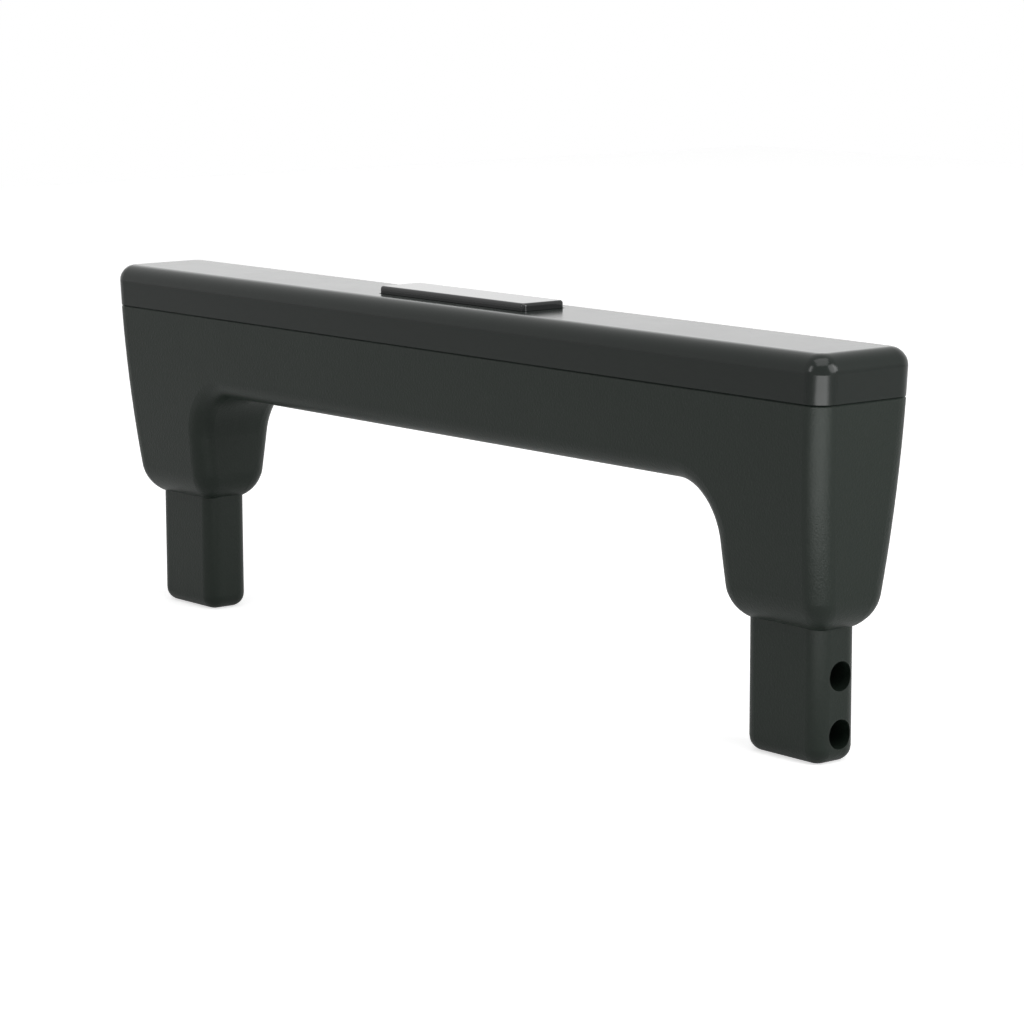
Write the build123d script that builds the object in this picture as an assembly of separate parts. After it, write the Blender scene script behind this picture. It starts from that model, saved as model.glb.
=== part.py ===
"""Trolley pull-handle grip: a bridge on two tube posts, with a sprung release button.

Millimetres, +Z up. The origin is midway between the posts, on the plane of their lower ends.
X runs along the grip and Y runs front to back.
"""

from build123d import *
import os

# Outer form of the grip
grip_height = 67.0  # post ends to the flat top of the cover
overall_length = 200.0
overall_depth = 21.3
end_taper = 2.8  # each end leans in by this much down to the shoulder
side_taper = 2.7
end_flank_radius = 1000.0  # slight outward bow of the two end faces
side_flank_radius = 294.0  # bow of the front and back faces
corner_radius = 3.7
top_edge_radius = 3.0
cover_height = 8.0
seam_chamfer = 0.2

# Hand opening
bridge_thickness = 23.4
arch_radius = 9.2

# Legs and the rounded shoulder at the foot of each
leg_width = 23.75  # at the shoulder
inner_taper = 0.75
shoulder_roll_height = 5.1
shoulder_end_inset = 3.25
shoulder_side_inset = 3.45

# Posts that slide into the trolley tubes
post_length = 22.2
post_width = 17.4
post_depth = 9.2
post_shift = 0.325  # post centre inboard of the leg centre
post_corner_radius = 2.8
post_end_radius = 2.6
post_overlap = 3.0  # post carried up inside the leg
fixing_hole_diameter = 4.9
fixing_hole_depth = 4.6
fixing_hole_spacing = 9.5
lower_fixing_hole_height = 4.8
fixing_hole_offset = 0.5  # towards the back

# Hollow interior of the housing
end_wall = 4.0
side_wall = 3.25
channel_corner_radius = 2.0
floor_thickness = 2.6
leg_outer_wall = 2.9
leg_inner_wall = 2.65
leg_side_wall = 2.45
leg_floor_thickness = 4.8

# Tongue of the cover in the rebate of the housing
tongue_thickness = 1.2
tongue_depth = 2.0
tongue_clearance = 0.1
cover_roof_thickness = 2.2

# Push button
button_length = 41.0
button_width = 9.4
button_corner_radius = 0.8
button_edge_radius = 0.5
button_stand = 1.4  # height above the cover
button_wall = 1.6
button_roof = 2.0
button_travel = 5.0
window_clearance = 0.3
flange_reach = 1.2
flange_thickness = 1.2
flange_gap = 0.15  # below the roof of the cover at rest

# Crossbar under the button
crossbar_height = 5.0
crossbar_web = 1.8
crossbar_rail = 1.4
crossbar_end_clearance = 4.0
crossbar_side_clearance = 0.6
crossbar_floor_clearance = 1.0  # left under the bar with the button fully in
socket_diameter = 10.4

# Release rods and their return springs
rod_diameter = 3.6
rod_bore_clearance = 0.4
rod_socket_depth = 4.0
rod_end_recess = 1.0  # rod end above the post end
rod_end_chamfer = 0.4
spring_clearance = 1.2  # inside the leg pocket
spring_wire = 1.0
spring_active_turns = 4
spring_end_turns = 1  # closed turns at each end
spring_end_pitch = 1.2
spring_steps_per_turn = 12
spring_wire_sides = 6

# Cover screws
screw_spacing = 92.0
screw_diameter = 3.0
screw_hole_clearance = 0.2
screw_thread_clearance = 0.05
screw_length = 15.0
screw_head_diameter = 5.6
screw_head_height = 2.0
screw_head_clearance = 0.4
screw_head_recess = 1.0  # head below the underside of the bridge
screw_seat_thickness = 2.0
tower_wall = 1.6
window_gap = 0.7  # round the towers where they pass the crossbar
pad_gap = 0.5  # round their pads with the button fully in
tower_joint_gap = 0.05
pilot_end_gap = 1.0

# Outline points that follow from the sizes above
seam_height = grip_height - cover_height
underside_height = grip_height - bridge_thickness
roll_start = post_length + shoulder_roll_height
outer_shoulder_x = overall_length / 2 - end_taper
inner_shoulder_x = outer_shoulder_x - leg_width
inner_top_x = inner_shoulder_x - inner_taper
leg_x = (outer_shoulder_x + inner_shoulder_x) / 2
leg_depth = overall_depth - 2 * side_taper
post_x = leg_x - post_shift
arch_limit = 0.9 * (underside_height - roll_start)  # straight wall that the arch can use

# Interior sizes that follow from them
roof_underside = grip_height - cover_roof_thickness
channel_length = overall_length - 2 * end_wall
channel_width = overall_depth - 2 * side_wall
channel_floor = underside_height + floor_thickness
leg_pocket_floor = post_length + leg_floor_thickness
leg_pocket_x = leg_x + (leg_inner_wall - leg_outer_wall) / 2
leg_pocket_length = leg_width - leg_outer_wall - leg_inner_wall
leg_pocket_width = leg_depth - 2 * leg_side_wall
spring_diameter = leg_pocket_width - 2 * spring_clearance
crossbar_length = channel_length - 2 * crossbar_end_clearance
crossbar_width = channel_width - 2 * crossbar_side_clearance
crossbar_bottom = channel_floor + crossbar_floor_clearance + button_travel
crossbar_top = crossbar_bottom + crossbar_height
rod_bore_diameter = rod_diameter + 2 * rod_bore_clearance
screw_hole_diameter = screw_diameter + 2 * screw_hole_clearance
counterbore_diameter = screw_head_diameter + 2 * screw_head_clearance
screw_seat = underside_height + screw_head_recess + screw_head_height
screw_tip = screw_seat + screw_length
screw_positions = (-screw_spacing / 2, screw_spacing / 2)
tower_diameter = screw_hole_diameter + 2 * tower_wall
tower_pad_diameter = counterbore_diameter + 2 * tower_wall
tower_pad_top = screw_seat + screw_seat_thickness
tower_top = crossbar_top
tolerance = 0.01  # for telling which edges lie on a level


def rounded_block(length, width, radius, bottom, top, x=0.0, y=0.0):
    """An upright block with rounded corners, from one height to another."""
    outline = Pos(x, y, bottom) * RectangleRounded(length, width, radius)
    return extrude(outline, top - bottom)


def upright_cylinder(diameter, bottom, top, x=0.0, y=0.0):
    """A cylinder on a vertical axis, from one height to another."""
    return Pos(x, y, (bottom + top) / 2) * Cylinder(diameter / 2, top - bottom)


def both_sides(shape):
    """The shape and its mirror image on the other side of the grip."""
    return [shape, mirror(shape, Plane.YZ)]


def front_outline():
    """Front view of the grip above the posts, with the hand opening left open below."""
    top_corner = (overall_length / 2, grip_height)
    roll_corner = (outer_shoulder_x, roll_start)
    outer_foot = (outer_shoulder_x - shoulder_end_inset, post_length)
    inner_foot = (inner_shoulder_x + shoulder_end_inset, post_length)
    inner_roll = (inner_shoulder_x, roll_start)
    inner_top = (inner_top_x, underside_height)
    flank = RadiusArc(top_corner, roll_corner, end_flank_radius)
    outer_roll = TangentArc(roll_corner, outer_foot, tangent=flank % 1)
    foot = Line(outer_foot, inner_foot)
    inner_side = Line(inner_top, inner_roll)
    roll_back = TangentArc(inner_roll, inner_foot, tangent=inner_side % 1)
    leg = [flank, outer_roll, foot, roll_back, inner_side]
    top = Line((-top_corner[0], grip_height), top_corner)
    underside = Line((-inner_top_x, underside_height), inner_top)
    face = make_face([top, underside] + leg + [mirror(edge, Plane.YZ) for edge in leg])
    arch_corners = [v for v in face.vertices() if abs(v.Y - underside_height) < tolerance]
    return fillet(arch_corners, min(arch_radius, arch_limit))


def side_outline():
    """End view of the grip above the posts."""
    top_corner = (overall_depth / 2, grip_height)
    roll_corner = (leg_depth / 2, roll_start)
    foot_corner = (leg_depth / 2 - shoulder_side_inset, post_length)
    flank = RadiusArc(top_corner, roll_corner, side_flank_radius)
    roll = TangentArc(roll_corner, foot_corner, tangent=flank % 1)
    side = [flank, roll]
    top = Line((-top_corner[0], grip_height), top_corner)
    foot = Line((-foot_corner[0], post_length), foot_corner)
    return make_face([top, foot] + side + [mirror(edge, Plane.YZ) for edge in side])


def edges_at(shape, height):
    """The edges of a shape that lie level at one height."""
    return shape.edges().filter_by_position(Axis.Z, height - tolerance, height + tolerance)


def lies_on_corner(edge):
    """Whether an edge of the crossed outlines runs along a corner, rather than across a face."""
    box = edge.bounding_box()
    across_depth = box.size.X < tolerance and box.size.Z < tolerance
    level = box.size.Z < tolerance
    on_opening = abs(box.min.Z - underside_height) < tolerance
    return not across_depth and (on_opening or not level)


def grip_solid():
    """The outer form of the grip above the posts, with every corner rounded."""
    along = extrude(Plane.XZ * front_outline(), overall_depth, both=True)
    across = extrude(Plane.YZ * side_outline(), overall_length, both=True)
    body = along & across
    body = fillet([edge for edge in body.edges() if lies_on_corner(edge)], corner_radius)
    return fillet(edges_at(body, grip_height), top_edge_radius)


def half_of_grip(above_seam):
    """The part of the outer form above or below the joint line, its seam edge broken."""
    slab_height = grip_height if above_seam else -grip_height
    slab = Pos(0, 0, seam_height + slab_height / 2) * Box(
        2 * overall_length, 2 * overall_depth, grip_height
    )
    half = grip_solid() & slab
    return chamfer(edges_at(half, seam_height), seam_chamfer)


def post():
    """The right-hand post, rounded at its lower end and bored for the fixings and the rod."""
    body = rounded_block(
        post_width, post_depth, post_corner_radius, 0, post_length + post_overlap, post_x
    )
    body = fillet(edges_at(body, 0), post_end_radius)
    for height in (lower_fixing_hole_height, lower_fixing_hole_height + fixing_hole_spacing):
        mouth = post_x + post_width / 2
        centre = Pos(mouth - fixing_hole_depth / 2, fixing_hole_offset, height)
        body -= centre * Rot(0, 90, 0) * Cylinder(fixing_hole_diameter / 2, fixing_hole_depth)
    return body


def screw_tower(x):
    """The tube round one screw, with a wider pad at its root."""
    tower = upright_cylinder(tower_diameter, underside_height, tower_top, x)
    return tower + upright_cylinder(tower_pad_diameter, underside_height, tower_pad_top, x)


def screw_way(x):
    """The counterbore and clearance hole for one screw, cut from the underside."""
    head = upright_cylinder(counterbore_diameter, underside_height - 1, screw_seat, x)
    return head + upright_cylinder(screw_hole_diameter, screw_seat, tower_top, x)


def grip_housing():
    """Lower moulding: bridge channel, two hollow legs, two posts and the screw towers."""
    body = half_of_grip(above_seam=False)
    body -= rounded_block(
        channel_length, channel_width, channel_corner_radius, channel_floor, seam_height
    )
    body -= tongue_block(tongue_clearance)
    leg_pocket = rounded_block(
        leg_pocket_length, leg_pocket_width, channel_corner_radius,
        leg_pocket_floor, channel_floor, leg_pocket_x,
    )
    for pocket in both_sides(leg_pocket):
        body -= pocket
    for foot in both_sides(post()):
        body += foot
    bore = upright_cylinder(rod_bore_diameter, 0, leg_pocket_floor, post_x)
    for hole in both_sides(bore):
        body -= hole
    for x in screw_positions:
        body += screw_tower(x)
        body -= screw_way(x)
    return body


def tongue_block(clearance):
    """The space taken by the cover's tongue, grown by a clearance on every side."""
    reach = 2 * (tongue_thickness + clearance)
    radius = channel_corner_radius + tongue_thickness + clearance
    bottom = seam_height - tongue_depth - clearance
    return rounded_block(channel_length + reach, channel_width + reach, radius, bottom, seam_height)


def top_cover():
    """Upper moulding: a shallow cap with the button window, a locating tongue and screw bosses."""
    body = half_of_grip(above_seam=True) + tongue_block(0)
    body -= rounded_block(
        channel_length, channel_width, channel_corner_radius,
        seam_height - tongue_depth, roof_underside,
    )
    pilot_diameter = screw_diameter + 2 * screw_thread_clearance
    boss_bottom = tower_top + tower_joint_gap
    for x in screw_positions:
        body += upright_cylinder(tower_diameter, boss_bottom, roof_underside, x)
        body -= upright_cylinder(pilot_diameter, boss_bottom, screw_tip + pilot_end_gap, x)
    window_growth = 2 * window_clearance
    body -= rounded_block(
        button_length + window_growth, button_width + window_growth,
        button_corner_radius + window_clearance, roof_underside, grip_height,
    )
    return body


def push_button():
    """Hollow button with a flange that stops it under the cover."""
    top = grip_height + button_stand
    body = rounded_block(button_length, button_width, button_corner_radius, crossbar_top, top)
    body = fillet(edges_at(body, top), button_edge_radius)
    flange_top = roof_underside - flange_gap
    body += rounded_block(
        button_length + 2 * flange_reach, button_width + 2 * flange_reach,
        button_corner_radius + flange_reach, flange_top - flange_thickness, flange_top,
    )
    wall = 2 * button_wall
    return body - Pos(0, 0, crossbar_top) * extrude(
        Rectangle(button_length - wall, button_width - wall), top - button_roof - crossbar_top
    )


def crossbar():
    """Ribbed bar that carries the button's movement to both rods."""
    body = rounded_block(
        crossbar_length, crossbar_width, channel_corner_radius, crossbar_bottom, crossbar_top
    )
    hollow_length = 2 * post_x - socket_diameter
    body -= Pos(0, 0, crossbar_bottom) * extrude(
        Rectangle(hollow_length, crossbar_width - 2 * crossbar_rail),
        crossbar_height - crossbar_web,
    )
    window = tower_diameter + 2 * window_gap
    relief = tower_pad_diameter + 2 * pad_gap
    relief_top = tower_pad_top + button_travel + pad_gap
    for x in screw_positions:
        body -= upright_cylinder(window, crossbar_bottom, crossbar_top, x)
        body -= upright_cylinder(relief, crossbar_bottom, relief_top, x)
    socket = upright_cylinder(
        rod_diameter, crossbar_bottom, crossbar_bottom + rod_socket_depth, post_x
    )
    for hole in both_sides(socket):
        body -= hole
    return body


def release_rod():
    """The right-hand steel rod, from its socket in the crossbar to just inside the post end."""
    top = crossbar_bottom + rod_socket_depth
    body = upright_cylinder(rod_diameter, rod_end_recess, top, post_x)
    return chamfer(body.edges().filter_by(GeomType.CIRCLE), rod_end_chamfer)


def spring_height(turn, length):
    """Height of the wire's centre after so many turns, with closed turns at both ends."""
    turns = spring_active_turns + 2 * spring_end_turns
    end_rise = spring_end_turns * spring_end_pitch
    if turn <= spring_end_turns:
        return turn * spring_end_pitch
    if turn >= turns - spring_end_turns:
        return length - (turns - turn) * spring_end_pitch
    active_pitch = (length - 2 * end_rise) / spring_active_turns
    return end_rise + (turn - spring_end_turns) * active_pitch


def return_spring():
    """The right-hand compression spring, between the leg floor and the crossbar."""
    length = crossbar_bottom - leg_pocket_floor - spring_wire
    steps = (spring_active_turns + 2 * spring_end_turns) * spring_steps_per_turn
    base = Pos(post_x, 0, leg_pocket_floor + spring_wire / 2)
    wire = Rot(90, 0, 0) * RegularPolygon(spring_wire / 2, spring_wire_sides)
    wire_in_coil = Pos((spring_diameter - spring_wire) / 2, 0, 0) * wire
    sections = []
    for step in range(steps + 1):
        turn = step / spring_steps_per_turn
        station = Pos(0, 0, spring_height(turn, length)) * Rot(0, 0, 360 * turn)
        sections.append(base * station * wire_in_coil)
    return loft(sections, ruled=True)


def cover_screws():
    """The two identical screws that hold the cover from below."""
    screws = []
    for x in screw_positions:
        head = upright_cylinder(screw_head_diameter, screw_seat - screw_head_height, screw_seat, x)
        screws.append(head + upright_cylinder(screw_diameter, screw_seat, screw_tip, x))
    return Compound(screws)


def main():
    """Write one STEP file for each node."""
    os.makedirs("parts", exist_ok=True)
    rods = both_sides(release_rod())
    springs = both_sides(return_spring())
    nodes = {
        "grip_housing": grip_housing(),
        "top_cover": top_cover(),
        "push_button": push_button(),
        "crossbar": crossbar(),
        "release_rod_right": rods[0],
        "release_rod_left": rods[1],
        "return_spring_right": springs[0],
        "return_spring_left": springs[1],
        "cover_screws": cover_screws(),
    }
    for name, shape in nodes.items():
        export_step(shape, f"parts/{name}.step")


main()
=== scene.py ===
"""Dresses the trolley pull-handle grip in its finishes and sets it on a pale studio floor.

All sizes are in metres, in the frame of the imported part: X along the grip, Z up.
"""

from __future__ import annotations

import logging
import math
from collections.abc import Callable
from dataclasses import dataclass
from enum import Enum

import bmesh
import bpy
from mathutils import Euler, Matrix, Vector

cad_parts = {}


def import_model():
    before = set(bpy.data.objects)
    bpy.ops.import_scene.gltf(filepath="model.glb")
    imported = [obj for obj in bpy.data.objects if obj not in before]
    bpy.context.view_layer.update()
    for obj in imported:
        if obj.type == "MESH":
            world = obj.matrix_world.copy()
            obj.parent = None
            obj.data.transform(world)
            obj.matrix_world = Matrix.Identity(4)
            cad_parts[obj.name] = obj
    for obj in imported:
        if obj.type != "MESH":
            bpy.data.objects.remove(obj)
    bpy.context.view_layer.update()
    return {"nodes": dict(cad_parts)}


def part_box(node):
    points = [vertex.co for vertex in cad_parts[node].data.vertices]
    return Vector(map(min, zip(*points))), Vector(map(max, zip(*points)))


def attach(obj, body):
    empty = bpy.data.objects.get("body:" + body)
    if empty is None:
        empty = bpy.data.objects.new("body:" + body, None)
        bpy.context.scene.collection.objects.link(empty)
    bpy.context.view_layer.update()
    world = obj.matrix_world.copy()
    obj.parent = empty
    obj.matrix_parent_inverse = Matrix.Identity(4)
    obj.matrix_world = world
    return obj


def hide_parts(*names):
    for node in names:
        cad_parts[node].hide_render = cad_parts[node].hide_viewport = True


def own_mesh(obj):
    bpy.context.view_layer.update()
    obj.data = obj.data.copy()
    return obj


LOG = logging.getLogger("pull_handle")
MILLIMETRE = 0.001

Colour = tuple[float, float, float]


class Direction(Enum):
    """Unit directions that the pieces refer to."""

    UP = (0.0, 0.0, 1.0)
    DOWN = (0.0, 0.0, -1.0)


class Shader:
    """A small helper that adds nodes to one node tree and joins them."""

    def __init__(self, tree: bpy.types.NodeTree) -> None:
        """Args:
        tree: the node tree to add to.
        """
        self.tree = tree

    def add(self, kind: str, **settings: object) -> bpy.types.Node:
        """Adds a node.

        Args:
            kind: the node's type, such as "ShaderNodeBump".
            **settings: attributes of the node, set as they are.

        Returns:
            The new node.
        """
        node = self.tree.nodes.new(kind)
        for name, value in settings.items():
            setattr(node, name, value)
        return node

    def set(self, node: bpy.types.Node, **values: object) -> bpy.types.Node:
        """Sets the unlinked inputs of a node.

        Args:
            node: the node.
            **values: input names, with underscores for spaces, and their values.

        Returns:
            The same node.
        """
        for name, value in values.items():
            node.inputs[name.replace("_", " ")].default_value = value
        return node

    def link(self, source: bpy.types.NodeSocket, target: bpy.types.NodeSocket) -> None:
        """Joins an output to an input."""
        self.tree.links.new(source, target)

    def math(self, operation: str, first: object, second: object = 0.0) -> bpy.types.NodeSocket:
        """Adds a math node.

        Args:
            operation: Blender's name for the operation.
            first: a socket or a number.
            second: a socket or a number.

        Returns:
            The result's socket.
        """
        node = self.add("ShaderNodeMath", operation=operation)
        for socket, value in zip(node.inputs, (first, second)):
            if isinstance(value, bpy.types.NodeSocket):
                self.link(value, socket)
            else:
                socket.default_value = value
        return node.outputs[0]


class EffectGroup:
    """A shader node group with named inputs and outputs, shared by several materials."""

    def __init__(self, name: str, inputs: dict[str, float], outputs: dict[str, str]) -> None:
        """Args:
        name: the group's name.
        inputs: names and default values of the number inputs.
        outputs: names of the outputs and their socket types.
        """
        self.tree = bpy.data.node_groups.new(name, "ShaderNodeTree")
        for label, value in inputs.items():
            socket = self.tree.interface.new_socket(
                name=label, in_out="INPUT", socket_type="NodeSocketFloat"
            )
            socket.default_value = value
        for label, kind in outputs.items():
            self.tree.interface.new_socket(name=label, in_out="OUTPUT", socket_type=kind)
        self.shader = Shader(self.tree)
        self.source = self.shader.add("NodeGroupInput")
        self.result = self.shader.add("NodeGroupOutput")
        self.place = self.shader.add("ShaderNodeTexCoord").outputs["Object"]

    def noise(self, scale: float | bpy.types.NodeSocket, detail: float) -> bpy.types.NodeSocket:
        """Adds a noise texture on object coordinates.

        Args:
            scale: features per metre, as a number or a socket.
            detail: octaves of finer noise.

        Returns:
            The socket of the noise value, from 0 to 1.
        """
        node = self.shader.add("ShaderNodeTexNoise")
        self.shader.link(self.place, node.inputs["Vector"])
        node.inputs["Detail"].default_value = detail
        if isinstance(scale, bpy.types.NodeSocket):
            self.shader.link(scale, node.inputs["Scale"])
        else:
            node.inputs["Scale"].default_value = scale
        return node.outputs["Fac"]


def mould_grain_group() -> bpy.types.NodeTree:
    """Spark-eroded mould grain: rounded pips of uneven size over a slow ripple.

    Returns:
        The node group, with a Height output for a Bump node.
    """
    group = EffectGroup(
        "MouldGrain", {"Scale": 2500.0, "Ripple": 0.3}, {"Height": "NodeSocketFloat"}
    )
    shader = group.shader
    cells = shader.add("ShaderNodeTexVoronoi", feature="SMOOTH_F1")
    shader.link(group.place, cells.inputs["Vector"])
    shader.link(group.source.outputs["Scale"], cells.inputs["Scale"])
    cells.inputs["Smoothness"].default_value = 0.6
    speckle = group.noise(group.source.outputs["Scale"], 3.0)
    slow = group.noise(shader.math("MULTIPLY", group.source.outputs["Scale"], 0.04), 2.0)
    pips = shader.math("ADD", shader.math("MULTIPLY", cells.outputs["Distance"], 0.7), speckle)
    ripple = shader.math("MULTIPLY", slow, group.source.outputs["Ripple"])
    shader.link(shader.math("ADD", pips, ripple), group.result.inputs["Height"])
    return group.tree


def handling_group() -> bpy.types.NodeTree:
    """Faint traces of handling: soft patches that are a little smoother or duller.

    Returns:
        The node group, with a Roughness and a Tone output, both near the given middle value.
    """
    group = EffectGroup(
        "HandlingTraces",
        {"Roughness": 0.4, "Spread": 0.1, "Scale": 35.0},
        {"Roughness": "NodeSocketFloat", "Tone": "NodeSocketFloat"},
    )
    shader = group.shader
    patches = group.noise(group.source.outputs["Scale"], 4.0)
    fine = group.noise(shader.math("MULTIPLY", group.source.outputs["Scale"], 9.0), 3.0)
    mixed = shader.math("ADD", shader.math("MULTIPLY", patches, 0.7), shader.math("MULTIPLY", fine, 0.3))
    swing = shader.math("MULTIPLY", shader.math("SUBTRACT", mixed, 0.5), group.source.outputs["Spread"])
    rough = shader.math("ADD", group.source.outputs["Roughness"], swing)
    shader.link(rough, group.result.inputs["Roughness"])
    shader.link(mixed, group.result.inputs["Tone"])
    return group.tree


def edge_wear_group() -> bpy.types.NodeTree:
    """Edge wear: a mask that rises where the surface turns sharply, broken up by noise.

    Returns:
        The node group, with a Mask output from 0 to 1.
    """
    group = EffectGroup(
        "EdgeWear", {"Radius": 0.0006, "Amount": 0.5}, {"Mask": "NodeSocketFloat"}
    )
    shader = group.shader
    bevel = shader.add("ShaderNodeBevel", samples=4)
    shader.link(group.source.outputs["Radius"], bevel.inputs["Radius"])
    geometry = shader.add("ShaderNodeNewGeometry")
    turn = shader.add("ShaderNodeVectorMath", operation="DOT_PRODUCT")
    shader.link(bevel.outputs["Normal"], turn.inputs[0])
    shader.link(geometry.outputs["Normal"], turn.inputs[1])
    sharp = shader.math("MULTIPLY", shader.math("SUBTRACT", 1.0, turn.outputs["Value"]), 8.0)
    broken = shader.math("MULTIPLY", sharp, group.noise(900.0, 4.0))
    mask = shader.math("MULTIPLY", broken, group.source.outputs["Amount"])
    shader.link(shader.math("MINIMUM", mask, 1.0), group.result.inputs["Mask"])
    return group.tree


@dataclass(frozen=True)
class Effects:
    """The node groups that the materials share."""

    grain: bpy.types.NodeTree
    handling: bpy.types.NodeTree
    wear: bpy.types.NodeTree

    @classmethod
    def build(cls) -> Effects:
        """Makes every shared group once."""
        return cls(mould_grain_group(), handling_group(), edge_wear_group())


@dataclass(frozen=True)
class Finish:
    """What every finish has: a name, a colour, and how it scatters light."""

    name: str
    colour: Colour
    worn_colour: Colour
    roughness: float
    roughness_spread: float
    specular: float
    metallic: float
    wear: float

    def relief(self, shader: Shader, effects: Effects) -> bpy.types.NodeSocket:
        """The height that the surface's bump follows. Each kind of finish has its own."""
        raise NotImplementedError

    def relief_depth(self) -> float:
        """Depth of the relief in metres."""
        raise NotImplementedError

    def material(self, effects: Effects) -> bpy.types.Material:
        """Builds the finish as a material.

        Args:
            effects: the shared node groups.

        Returns:
            A material with a Principled shader.
        """
        made = bpy.data.materials.new(self.name)
        made.use_nodes = True
        tree = made.node_tree
        surface = tree.nodes["Principled BSDF"]
        shader = Shader(tree)
        surface.inputs["Metallic"].default_value = self.metallic
        surface.inputs["Specular IOR Level"].default_value = self.specular
        handling = shader.add("ShaderNodeGroup", node_tree=effects.handling)
        shader.set(handling, Roughness=self.roughness, Spread=self.roughness_spread)
        shader.link(handling.outputs["Roughness"], surface.inputs["Roughness"])
        wear = shader.add("ShaderNodeGroup", node_tree=effects.wear)
        shader.set(wear, Amount=self.wear)
        tone = shader.add("ShaderNodeMix", data_type="RGBA")
        tone.inputs[6].default_value = (*self.colour, 1.0)
        tone.inputs[7].default_value = (*(0.8 * c for c in self.colour), 1.0)
        shader.link(handling.outputs["Tone"], tone.inputs[0])
        worn = shader.add("ShaderNodeMix", data_type="RGBA")
        worn.inputs[7].default_value = (*self.worn_colour, 1.0)
        shader.link(wear.outputs["Mask"], worn.inputs[0])
        shader.link(tone.outputs[2], worn.inputs[6])
        shader.link(worn.outputs[2], surface.inputs["Base Color"])
        bump = shader.add("ShaderNodeBump")
        bump.inputs["Strength"].default_value = 1.0
        bump.inputs["Distance"].default_value = self.relief_depth()
        shader.link(self.relief(shader, effects), bump.inputs["Height"])
        shader.link(bump.outputs["Normal"], surface.inputs["Normal"])
        return made


@dataclass(frozen=True)
class MouldedPlastic(Finish):
    """Injection-moulded plastic with the grain of its mould."""

    grain_per_metre: float = 2500.0
    grain_depth: float = 0.00002
    ripple: float = 0.3

    def relief(self, shader: Shader, effects: Effects) -> bpy.types.NodeSocket:
        """The mould's grain."""
        grain = shader.add("ShaderNodeGroup", node_tree=effects.grain)
        shader.set(grain, Scale=self.grain_per_metre, Ripple=self.ripple)
        return grain.outputs["Height"]

    def relief_depth(self) -> float:
        """Depth of the grain in metres."""
        return self.grain_depth


@dataclass(frozen=True)
class DrawnSteel(Finish):
    """Steel with fine lines along the direction in which it was drawn or turned."""

    line_scale: tuple[float, float, float] = (6000.0, 6000.0, 60.0)
    line_depth: float = 0.000004

    def relief(self, shader: Shader, effects: Effects) -> bpy.types.NodeSocket:
        """Long thin lines, from a noise stretched along one axis."""
        place = shader.add("ShaderNodeTexCoord")
        stretch = shader.add("ShaderNodeVectorMath", operation="MULTIPLY")
        stretch.inputs[1].default_value = self.line_scale
        shader.link(place.outputs["Object"], stretch.inputs[0])
        lines = shader.add("ShaderNodeTexNoise")
        lines.inputs["Scale"].default_value = 1.0
        lines.inputs["Detail"].default_value = 3.0
        shader.link(stretch.outputs[0], lines.inputs["Vector"])
        return lines.outputs["Fac"]

    def relief_depth(self) -> float:
        """Depth of the lines in metres."""
        return self.line_depth


HOUSING_FINISH = MouldedPlastic(
    name="grained_charcoal",
    colour=(0.0125, 0.0195, 0.0145),
    worn_colour=(0.026, 0.033, 0.028),
    roughness=0.40,
    roughness_spread=0.10,
    specular=0.22,
    metallic=0.0,
    wear=0.35,
    grain_per_metre=2600.0,
    grain_depth=0.00003,
)
COVER_FINISH = MouldedPlastic(
    name="smooth_charcoal",
    colour=(0.0075, 0.0125, 0.0095),
    worn_colour=(0.020, 0.026, 0.022),
    roughness=0.19,
    roughness_spread=0.08,
    specular=0.27,
    metallic=0.0,
    wear=0.25,
    grain_per_metre=700.0,
    grain_depth=0.000004,
)
BUTTON_FINISH = MouldedPlastic(
    name="polished_charcoal",
    colour=(0.006, 0.008, 0.008),
    worn_colour=(0.018, 0.022, 0.021),
    roughness=0.09,
    roughness_spread=0.05,
    specular=0.5,
    metallic=0.0,
    wear=0.3,
    grain_per_metre=600.0,
    grain_depth=0.000003,
)
CROSSBAR_FINISH = MouldedPlastic(
    name="natural_moulding",
    colour=(0.52, 0.52, 0.48),
    worn_colour=(0.60, 0.60, 0.56),
    roughness=0.42,
    roughness_spread=0.10,
    specular=0.5,
    metallic=0.0,
    wear=0.2,
    grain_per_metre=1500.0,
    grain_depth=0.00001,
)
ROD_FINISH = DrawnSteel(
    name="plated_rod",
    colour=(0.60, 0.60, 0.62),
    worn_colour=(0.70, 0.70, 0.71),
    roughness=0.32,
    roughness_spread=0.12,
    specular=0.5,
    metallic=1.0,
    wear=0.4,
)
SPRING_FINISH = DrawnSteel(
    name="spring_wire",
    colour=(0.45, 0.45, 0.47),
    worn_colour=(0.58, 0.58, 0.60),
    roughness=0.28,
    roughness_spread=0.10,
    specular=0.5,
    metallic=1.0,
    wear=0.3,
    line_scale=(2500.0, 2500.0, 2500.0),
)
SCREW_FINISH = DrawnSteel(
    name="plated_screw",
    colour=(0.55, 0.56, 0.58),
    worn_colour=(0.66, 0.66, 0.68),
    roughness=0.30,
    roughness_spread=0.12,
    specular=0.5,
    metallic=1.0,
    wear=0.5,
    line_scale=(900.0, 900.0, 4000.0),
)


def dress(piece: bpy.types.Object, material: bpy.types.Material) -> None:
    """Gives every material slot of a piece the same material.

    Args:
        piece: a mesh object.
        material: the material.
    """
    if not piece.material_slots:
        piece.data.materials.append(material)
    for slot in piece.material_slots:
        slot.material = material


def new_mesh_object(name: str, mesh_data: bmesh.types.BMesh) -> bpy.types.Object:
    """Turns a bmesh into an object in the scene.

    Args:
        name: the object's name.
        mesh_data: the geometry, which is freed.

    Returns:
        The new object, shaded smooth.
    """
    mesh = bpy.data.meshes.new(name)
    mesh_data.to_mesh(mesh)
    mesh_data.free()
    mesh.shade_smooth()
    made = bpy.data.objects.new(name, mesh)
    bpy.context.scene.collection.objects.link(made)
    return made


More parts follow.
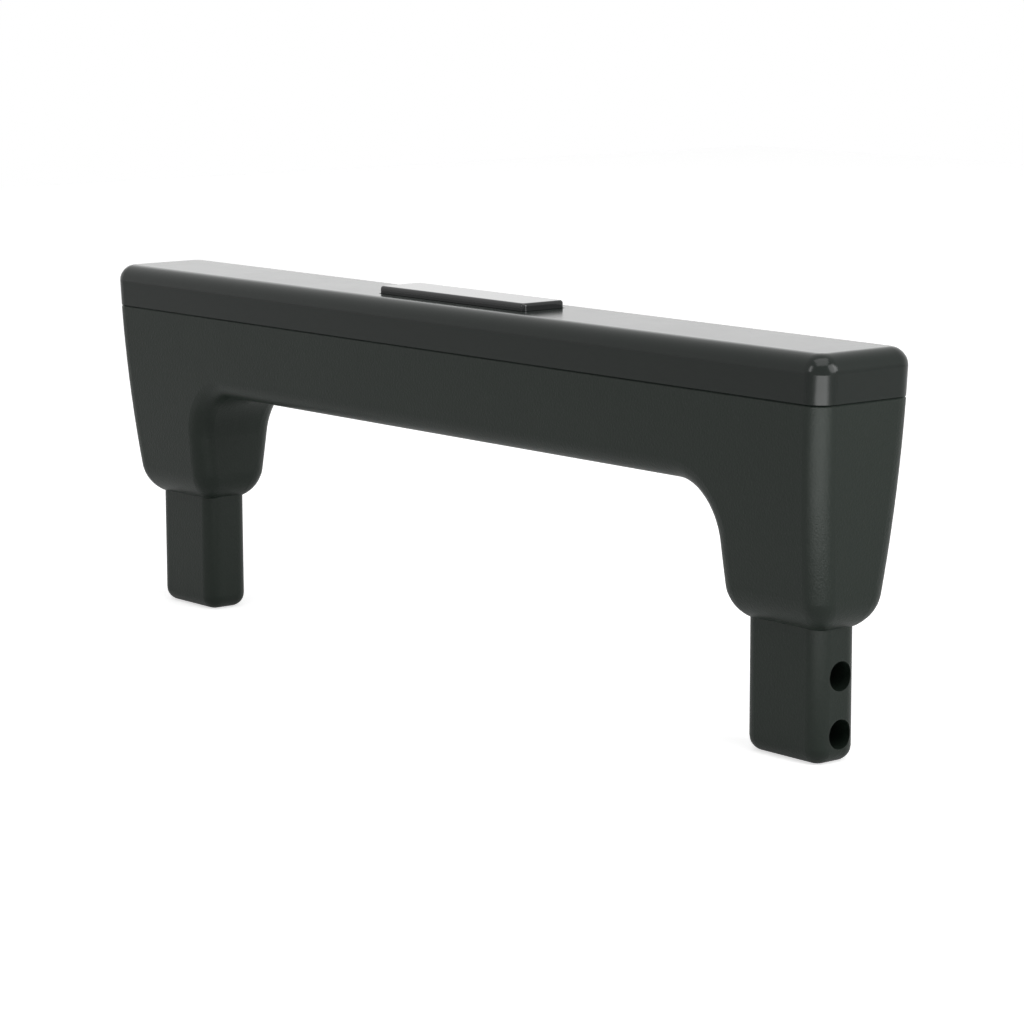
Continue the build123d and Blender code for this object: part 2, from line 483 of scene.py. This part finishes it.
@dataclass
class GripShell:
    """The two outer mouldings: grained housing below the joint line, smooth cover above."""

    nodes: dict[str, bpy.types.Object]
    housing_finish: MouldedPlastic = HOUSING_FINISH
    cover_finish: MouldedPlastic = COVER_FINISH

    def build(self, effects: Effects) -> list[bpy.types.Object]:
        """Dresses both mouldings.

        Args:
            effects: the shared node groups.

        Returns:
            The dressed pieces.
        """
        housing, cover = self.nodes["grip_housing"], self.nodes["top_cover"]
        dress(housing, self.housing_finish.material(effects))
        dress(cover, self.cover_finish.material(effects))
        return [housing, cover]


@dataclass
class ReleaseMechanism:
    """The push button, the bar below it and the two rods."""

    nodes: dict[str, bpy.types.Object]
    button_finish: MouldedPlastic = BUTTON_FINISH
    crossbar_finish: MouldedPlastic = CROSSBAR_FINISH
    rod_finish: DrawnSteel = ROD_FINISH

    def build(self, effects: Effects) -> list[bpy.types.Object]:
        """Dresses the moving pieces.

        Args:
            effects: the shared node groups.

        Returns:
            The dressed pieces.
        """
        dress(self.nodes["push_button"], self.button_finish.material(effects))
        dress(self.nodes["crossbar"], self.crossbar_finish.material(effects))
        rod_material = self.rod_finish.material(effects)
        rods = [self.nodes["release_rod_right"], self.nodes["release_rod_left"]]
        for rod in rods:
            dress(rod, rod_material)
        return [self.nodes["push_button"], self.nodes["crossbar"], *rods]


@dataclass
class ReturnSprings:
    """The two compression springs, as round wire with closed end turns."""

    nodes: dict[str, bpy.types.Object]
    finish: DrawnSteel = SPRING_FINISH
    wire: float = 1.0 * MILLIMETRE
    end_pitch: float = 1.2 * MILLIMETRE
    active_turns: int = 4
    end_turns: int = 1
    steps_per_turn: int = 40
    wire_sides: int = 12
    joint: str = "button_press"
    travel: float = 5.0 * MILLIMETRE

    def build(self, effects: Effects) -> list[bpy.types.Object]:
        """Makes both springs in the places of their CAD nodes.

        Args:
            effects: the shared node groups.

        Returns:
            The new springs.
        """
        material = self.finish.material(effects)
        springs = []
        for side in ("right", "left"):
            node = f"return_spring_{side}"
            springs.append(self.make_spring(node, material))
        return springs

    def rise(self, turn: float, length: float) -> float:
        """Height of the wire's centre above the first turn's start.

        Args:
            turn: turns from the lower end.
            length: height from the first to the last wire centre.

        Returns:
            The height in metres.
        """
        turns = self.active_turns + 2 * self.end_turns
        end_rise = self.end_turns * self.end_pitch
        if turn <= self.end_turns:
            return turn * self.end_pitch
        if turn >= turns - self.end_turns:
            return length - (turns - turn) * self.end_pitch
        pitch = (length - 2 * end_rise) / self.active_turns
        return end_rise + (turn - self.end_turns) * pitch

    def make_spring(self, node: str, material: bpy.types.Material) -> bpy.types.Object:
        """Makes one spring.

        Args:
            node: the CAD node it stands for.
            material: its finish.

        Returns:
            The new spring.
        """
        low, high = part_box(node)
        centre = (low + high) / 2
        radius = (high.x - low.x - self.wire) / 2
        length = high.z - low.z - self.wire
        steps = (self.active_turns + 2 * self.end_turns) * self.steps_per_turn
        shape = bmesh.new()
        rings = []
        for step in range(steps + 1):
            turn = step / self.steps_per_turn
            spin = Matrix.Rotation(2 * math.pi * turn, 4, "Z")
            ring = []
            for side in range(self.wire_sides):
                angle = 2 * math.pi * side / self.wire_sides
                across = radius + self.wire / 2 * math.cos(angle)
                point = spin @ Vector((across, 0, self.wire / 2 * math.sin(angle)))
                point += Vector((centre.x, centre.y, low.z + self.wire / 2 + self.rise(turn, length)))
                ring.append(shape.verts.new(point))
            rings.append(ring)
        for lower, upper in zip(rings, rings[1:]):
            for here in range(self.wire_sides):
                there = (here + 1) % self.wire_sides
                shape.faces.new((lower[here], lower[there], upper[there], upper[here]))
        shape.faces.new(reversed(rings[0]))
        shape.faces.new(rings[-1])
        bmesh.ops.recalc_face_normals(shape, faces=shape.faces)
        spring = new_mesh_object(f"{node}_wire", shape)
        dress(spring, material)
        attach(spring, "grip")
        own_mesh(spring)
        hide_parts(node)
        return spring


@dataclass
class CoverScrews:
    """The plated screws in the underside of the bridge, with threads and a cross recess."""

    finish: DrawnSteel = SCREW_FINISH
    node: str = "cover_screws"
    head_radius: float = 2.8 * MILLIMETRE
    head_height: float = 2.0 * MILLIMETRE
    head_edge: float = 0.4 * MILLIMETRE
    outer_radius: float = 1.5 * MILLIMETRE
    core_radius: float = 1.15 * MILLIMETRE
    tip_radius: float = 0.5 * MILLIMETRE
    tip_length: float = 1.2 * MILLIMETRE
    pitch: float = 1.1 * MILLIMETRE
    rows_per_turn: int = 8
    sides: int = 32
    recess_length: float = 2.9 * MILLIMETRE
    recess_width: float = 0.62 * MILLIMETRE
    recess_depth: float = 1.1 * MILLIMETRE

    def build(self, effects: Effects) -> list[bpy.types.Object]:
        """Makes the screws in the place of their CAD node.

        Args:
            effects: the shared node groups.

        Returns:
            The one piece that holds all the screws.
        """
        low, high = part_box(self.node)
        places = (low.x + self.head_radius, high.x - self.head_radius)
        shape = bmesh.new()
        for x in places:
            self.add_screw(shape, Vector((x, (low.y + high.y) / 2, low.z)), high.z - low.z)
        screws = new_mesh_object("cover_screws_threaded", shape)
        for x in places:
            for turn in (0.0, math.pi / 2):
                self.cut_slot(screws, Vector((x, (low.y + high.y) / 2, low.z)), turn)
        screws.data.set_sharp_from_angle(angle=math.radians(35.0))
        dress(screws, self.finish.material(effects))
        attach(screws, "grip")
        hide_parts(self.node)
        return [screws]

    def thread_radius(self, height: float, angle: float) -> float:
        """Radius of the thread at a height and an angle.

        Args:
            height: height above the seat of the head.
            angle: angle round the screw, in radians.

        Returns:
            The radius in metres, between the core and the crest.
        """
        phase = (height / self.pitch - angle / (2 * math.pi)) % 1.0
        crest = max(0.0, 1.0 - 3.0 * abs(phase - 0.5))
        return self.core_radius + (self.outer_radius - self.core_radius) * crest

    def add_screw(self, shape: bmesh.types.BMesh, foot: Vector, length: float) -> None:
        """Adds one screw, standing on its head.

        Args:
            shape: the mesh to add to.
            foot: middle of the head's outer face.
            length: height from there to the tip.
        """
        edge = self.head_edge
        rings = [self.ring(shape, foot, height, lambda _, r=radius: r) for height, radius in (
            (0.0, self.head_radius - edge),
            (edge / 3, self.head_radius - edge / 3),
            (edge, self.head_radius),
            (self.head_height, self.head_radius),
            (self.head_height, self.outer_radius),
        )]
        threaded = length - self.head_height - self.tip_length
        rows = round(threaded / self.pitch * self.rows_per_turn)
        for row in range(rows + 1):
            rise = threaded * row / rows
            rings.append(self.ring(
                shape, foot, self.head_height + rise, lambda a, h=rise: self.thread_radius(h, a)
            ))
        rings.append(self.ring(shape, foot, length, lambda _: self.tip_radius))
        for lower, upper in zip(rings, rings[1:]):
            for here in range(self.sides):
                there = (here + 1) % self.sides
                shape.faces.new((lower[here], lower[there], upper[there], upper[here]))
        shape.faces.new(reversed(rings[0]))
        shape.faces.new(rings[-1])

    def ring(
        self,
        shape: bmesh.types.BMesh,
        foot: Vector,
        height: float,
        radius: Callable[[float], float],
    ) -> list[bmesh.types.BMVert]:
        """Adds a ring of points round the screw's axis.

        Args:
            shape: the mesh to add to.
            foot: middle of the head's outer face.
            height: height of the ring above it.
            radius: gives the radius at an angle in radians.

        Returns:
            The new points in order.
        """
        points = []
        for side in range(self.sides):
            angle = 2 * math.pi * side / self.sides
            out = radius(angle)
            points.append(shape.verts.new(
                foot + Vector((out * math.cos(angle), out * math.sin(angle), height))
            ))
        return points

    def cut_slot(self, screws: bpy.types.Object, foot: Vector, turn: float) -> None:
        """Cuts one arm of the cross recess.

        Args:
            screws: the piece to cut.
            foot: middle of the head's outer face.
            turn: direction of the arm, in radians.
        """
        shape = bmesh.new()
        size = Matrix.Diagonal((self.recess_length, self.recess_width, 2 * self.recess_depth, 1.0))
        place = Matrix.Translation(foot) @ Matrix.Rotation(turn, 4, "Z") @ size
        bmesh.ops.create_cube(shape, size=1.0, matrix=place)
        cutter = new_mesh_object("slot_cutter", shape)
        cut = screws.modifiers.new("slot", "BOOLEAN")
        cut.object, cut.operation, cut.solver = cutter, "DIFFERENCE", "EXACT"
        graph = bpy.context.evaluated_depsgraph_get()
        mesh = bpy.data.meshes.new_from_object(screws.evaluated_get(graph))
        screws.modifiers.remove(cut)
        screws.data = mesh
        bpy.data.objects.remove(cutter)


class LampUse(Enum):
    """Whether a lamp lights the grip or only shows in its gloss."""

    LIGHT = "light"
    REFLECTOR = "reflector"


@dataclass(frozen=True)
class Lamp:
    """A soft rectangular lamp that points at the grip."""

    name: str
    azimuth: float
    elevation: float
    distance: float
    width: float
    height: float
    power: float
    use: LampUse = LampUse.LIGHT

    def build(self, target: Vector) -> None:
        """Places the lamp.

        Args:
            target: the point that it faces.
        """
        data = bpy.data.lights.new(self.name, "AREA")
        data.shape = "RECTANGLE"
        data.size, data.size_y, data.energy = self.width, self.height, self.power
        lamp = bpy.data.objects.new(self.name, data)
        back = direction_from(self.azimuth, self.elevation)
        lamp.location = target + back * self.distance
        lamp.visible_camera = False
        lamp.visible_diffuse = self.use is LampUse.LIGHT
        lamp.rotation_euler = (-back).to_track_quat("-Z", "Y").to_euler()
        bpy.context.scene.collection.objects.link(lamp)


@dataclass(frozen=True)
class FloorCard:
    """A glowing card that lies on the floor in front and shows only in the gloss."""

    name: str
    x: float
    y: float
    width: float
    depth: float
    turn: float
    power: float
    lift: float = 1.0 * MILLIMETRE

    def build(self) -> None:
        """Lays the card on the floor, facing up."""
        data = bpy.data.lights.new(self.name, "AREA")
        data.shape = "RECTANGLE"
        data.size, data.size_y, data.energy = self.width, self.depth, self.power
        card = bpy.data.objects.new(self.name, data)
        card.location = (self.x, self.y, self.lift)
        card.rotation_euler = Euler((math.pi, 0.0, math.radians(self.turn)))
        card.visible_camera = False
        card.visible_diffuse = False
        bpy.context.scene.collection.objects.link(card)


def direction_from(azimuth: float, elevation: float) -> Vector:
    """The unit vector towards a place round the grip.

    Args:
        azimuth: degrees from the front, positive towards +X.
        elevation: degrees above the horizon.

    Returns:
        The unit vector.
    """
    a, e = math.radians(azimuth), math.radians(elevation)
    return Vector((math.sin(a) * math.cos(e), -math.cos(a) * math.cos(e), math.sin(e)))


@dataclass
class Studio:
    """Floor, surroundings, lamps and camera."""

    floor_half_size: float = 1.1
    floor_colour: Colour = (0.80, 0.80, 0.80)
    floor_lift: float = 0.66
    floor_gloss_lift: float = 0.25
    world_level: float = 0.32
    lamps: tuple[Lamp, ...] = (
        Lamp("overhead", 55.0, 72.0, 1.1, 0.9, 0.9, 5.5),
        Lamp("right_panel", 102.0, 24.0, 1.0, 0.5, 0.7, 4.0),
        Lamp("back_panel", 231.0, 14.0, 1.3, 1.3, 0.5, 0.7, LampUse.REFLECTOR),
        Lamp("left_strip", -8.0, 24.0, 1.0, 0.22, 0.5, 1.6, LampUse.REFLECTOR),
        Lamp("right_strip", 118.0, 24.0, 1.0, 0.22, 0.5, 1.6, LampUse.REFLECTOR),
    )
    card: FloorCard = FloorCard("floor_card", 0.265, -0.155, 0.26, 0.28, 48.0, 1.3)
    camera_azimuth: float = 50.778
    camera_elevation: float = 9.486
    camera_roll: float = -0.184
    camera_distance: float = 613.55 * MILLIMETRE
    camera_lens: float = 122.18
    aim: tuple[float, float, float] = (11.596 * MILLIMETRE, 0.0, 30.447 * MILLIMETRE)

    def build(self) -> None:
        """Sets up everything round the grip."""
        self.make_floor()
        self.make_world()
        for lamp in self.lamps:
            lamp.build(Vector(self.aim))
        self.card.build()
        self.make_camera()
        bpy.context.scene.view_settings.view_transform = "Standard"

    def make_floor(self) -> None:
        """A plain pale floor that the camera sees as near white, with the grip's shadow."""
        shape = bmesh.new()
        bmesh.ops.create_grid(shape, x_segments=1, y_segments=1, size=self.floor_half_size)
        floor = new_mesh_object("floor", shape)
        material = bpy.data.materials.new("studio_floor")
        material.use_nodes = True
        shader = Shader(material.node_tree)
        surface = material.node_tree.nodes["Principled BSDF"]
        surface.inputs["Base Color"].default_value = (*self.floor_colour, 1.0)
        surface.inputs["Roughness"].default_value = 0.9
        surface.inputs["Specular IOR Level"].default_value = 0.1
        surface.inputs["Emission Color"].default_value = (1.0, 1.0, 1.0, 1.0)
        path = shader.add("ShaderNodeLightPath")
        direct = shader.math("MULTIPLY", path.outputs["Is Camera Ray"], self.floor_lift)
        in_gloss = shader.math("MULTIPLY", path.outputs["Is Glossy Ray"], self.floor_gloss_lift)
        lift = shader.math("ADD", direct, in_gloss)
        shader.link(lift, surface.inputs["Emission Strength"])
        dress(floor, material)

    def make_world(self) -> None:
        """Even pale surroundings, white where the camera sees them."""
        world = bpy.data.worlds.new("studio")
        bpy.context.scene.world = world
        world.use_nodes = True
        shader = Shader(world.node_tree)
        background = world.node_tree.nodes["Background"]
        path = shader.add("ShaderNodeLightPath")
        sharp = shader.math("MAXIMUM", path.outputs["Is Glossy Ray"], path.outputs["Is Transmission Ray"])
        seen = shader.math("MAXIMUM", path.outputs["Is Camera Ray"], sharp)
        gain = shader.math("MULTIPLY", seen, 1.0 - self.world_level)
        shader.link(shader.math("ADD", gain, self.world_level), background.inputs["Strength"])
        background.inputs["Color"].default_value = (1.0, 1.0, 1.0, 1.0)

    def make_camera(self) -> None:
        """The camera, in front of the right-hand end and a little above."""
        data = bpy.data.cameras.new("camera")
        data.sensor_width, data.lens = 36.0, self.camera_lens
        data.clip_start, data.clip_end = 0.01, 50.0
        camera = bpy.data.objects.new("camera", data)
        back = direction_from(self.camera_azimuth, self.camera_elevation)
        facing = (-back).to_track_quat("-Z", "Y").to_matrix().to_4x4()
        roll = Matrix.Rotation(math.radians(self.camera_roll), 4, "Z")
        place = Matrix.Translation(Vector(self.aim) + back * self.camera_distance)
        camera.matrix_world = place @ facing @ roll
        bpy.context.scene.collection.objects.link(camera)
        bpy.context.scene.camera = camera


def main() -> None:
    """Loads the frame, dresses each sub-assembly in turn and sets the studio round it."""
    logging.basicConfig(level=logging.INFO)
    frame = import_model()
    effects = Effects.build()
    nodes = frame["nodes"]
    for assembly in (GripShell(nodes), ReleaseMechanism(nodes), ReturnSprings(nodes), CoverScrews()):
        for piece in assembly.build(effects):
            LOG.info("%s: %s", type(assembly).__name__, piece.name)
    Studio().build()


if __name__ == "__main__":
    main()
